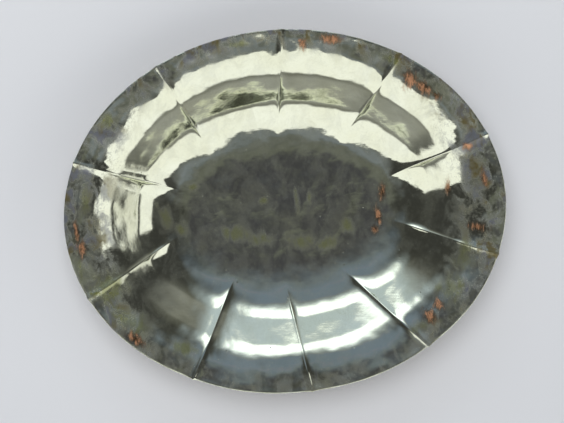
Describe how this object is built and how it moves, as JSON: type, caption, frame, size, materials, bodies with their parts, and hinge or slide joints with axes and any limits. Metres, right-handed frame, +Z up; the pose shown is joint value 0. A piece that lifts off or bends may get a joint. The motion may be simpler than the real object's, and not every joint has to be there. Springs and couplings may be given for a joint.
{
  "type": "lobed serving tray",
  "caption": "Oval lobed serving tray raised from one sheet: a flat well, a curved wall and a wide, gently sloping flange crossed by sharp radial ridges.",
  "frame": {"origin": "centre of the bounding box's base, on the underside of the flat well", "axes": "+Z up out of the dish, +X along the oval's long axis, +Y along its short axis"},
  "size_m": [0.4012, 0.3324, 0.0513],
  "materials": {
    "worn_plate": "hammer-planished, tarnished silver-coloured plate, worn through to copper in patches"
  },
  "bodies": {
    "root": {"tray_sheet": "worn_plate"}
  },
  "joints": []
}
